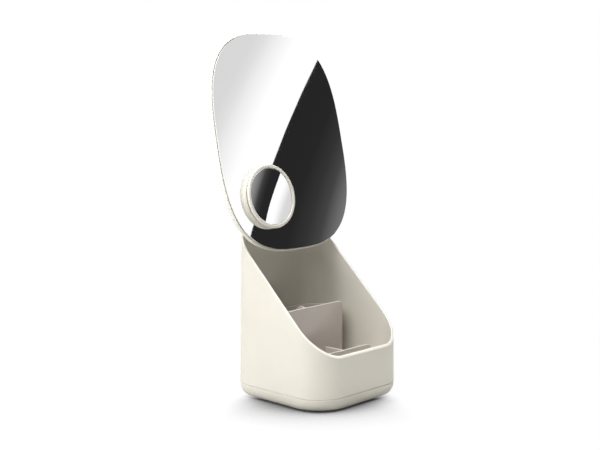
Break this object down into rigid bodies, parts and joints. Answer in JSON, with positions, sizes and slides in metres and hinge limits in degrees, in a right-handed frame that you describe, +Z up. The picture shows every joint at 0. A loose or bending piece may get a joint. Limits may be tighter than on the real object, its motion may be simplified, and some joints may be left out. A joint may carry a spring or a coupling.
{
  "type": "tabletop mirror",
  "caption": "Tabletop mirror that tilts above a slope-mouthed storage pot, with a lift-off magnifying mirror and a lift-out organiser.",
  "frame": {"origin": "middle of the flat non-slip pad that it stands on, at table height", "axes": "+Z up, the front lip and the glass face towards -Y, +X to the right as seen from the front; the mirror leans back towards +Y"},
  "size_m": [0.1864, 0.1463, 0.3737],
  "materials": {
    "cream_plastic": "fine satin moulded ABS, warm off-white",
    "taupe_plastic": "satin moulded plastic, warm grey",
    "mirror_glass": "silvered float glass",
    "pad_rubber": "soft non-slip pad",
    "raw_steel": "plain steel plate",
    "zinc_steel": "bright zinc plating",
    "magnet_nickel": "nickel plating",
    "dark_polymer": "self-lubricating polymer",
    "foam_tape": "double-sided foam tape",
    "grey_felt": "thin felt disc"
  },
  "bodies": {
    "root": {"container_shell": "cream_plastic", "base_cover": "cream_plastic", "base_pad": "pad_rubber", "ballast_plate": "raw_steel", "base_screw_1": "zinc_steel", "base_screw_2": "zinc_steel", "base_screw_3": "zinc_steel", "base_screw_4": "zinc_steel", "hinge_bracket": "cream_plastic", "bracket_screw_1": "zinc_steel", "bracket_screw_2": "zinc_steel", "hinge_pin": "zinc_steel", "hinge_nut": "zinc_steel", "friction_washer_left": "dark_polymer", "friction_washer_right": "dark_polymer"},
    "organiser": {"organiser": "taupe_plastic"},
    "mirror": {"mirror_housing": "cream_plastic", "mirror_tape": "foam_tape", "mirror_glass": "mirror_glass", "keeper_plate": "raw_steel", "hinge_block": "cream_plastic", "block_screw_1": "zinc_steel", "block_screw_2": "zinc_steel", "block_screw_3": "zinc_steel", "block_screw_4": "zinc_steel"},
    "magnifier": {"magnifier_felt": "grey_felt", "magnifier_cup": "cream_plastic", "magnifier_magnet": "magnet_nickel", "magnifier_ring": "cream_plastic", "magnifier_glass": "mirror_glass"}
  },
  "joints": [
    {"name": "mirror_tilt", "type": "hinge", "parent": "root", "child": "mirror", "pos_m": [0, 0.055, 0.19], "axis": [1, 0, 0], "range_deg": [-20, 12]},
    {"name": "magnifier_pull", "type": "slide", "parent": "mirror", "child": "magnifier", "axis": [0, -0.9772, 0.2125], "range_m": [0, 0.04]},
    {"name": "organiser_lift", "type": "slide", "parent": "root", "child": "organiser", "axis": [0, 0, 1], "range_m": [0, 0.05]}
  ]
}
